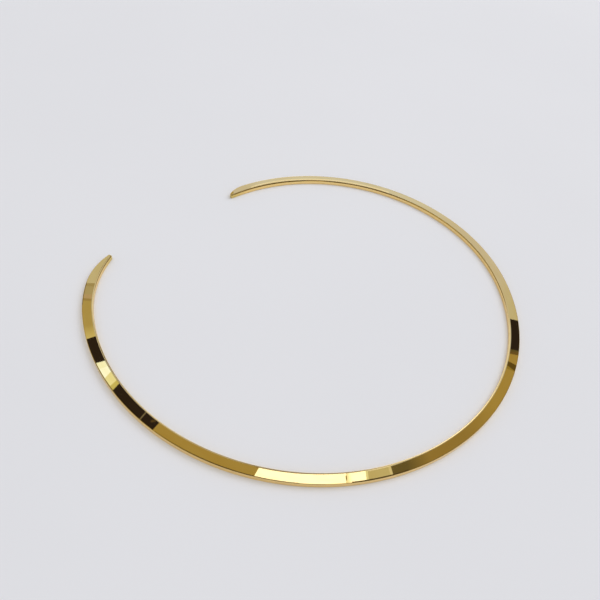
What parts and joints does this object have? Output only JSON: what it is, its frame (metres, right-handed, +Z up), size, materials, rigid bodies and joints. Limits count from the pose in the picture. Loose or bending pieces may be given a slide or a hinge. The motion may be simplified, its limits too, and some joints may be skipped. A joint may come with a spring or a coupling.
{
  "type": "open collar choker",
  "caption": "Rigid open neck collar: a flat mirror-polished gold strip bent into a ring, with tapered, slightly curled tips left apart at the back.",
  "frame": {"origin": "on the surface the collar lies on, under the middle of the box round it", "axes": "+Z up through the ring, the way a neck passes; -Y towards the closed front; the two tips and the gap between them at +Y; +X across the ring"},
  "size_m": [0.1302, 0.1202, 0.0015],
  "materials": {
    "polished_gold": "mirror-polished yellow gold, with fine polishing lines along the strip"
  },
  "bodies": {
    "root": {"collar": "polished_gold"}
  },
  "joints": []
}
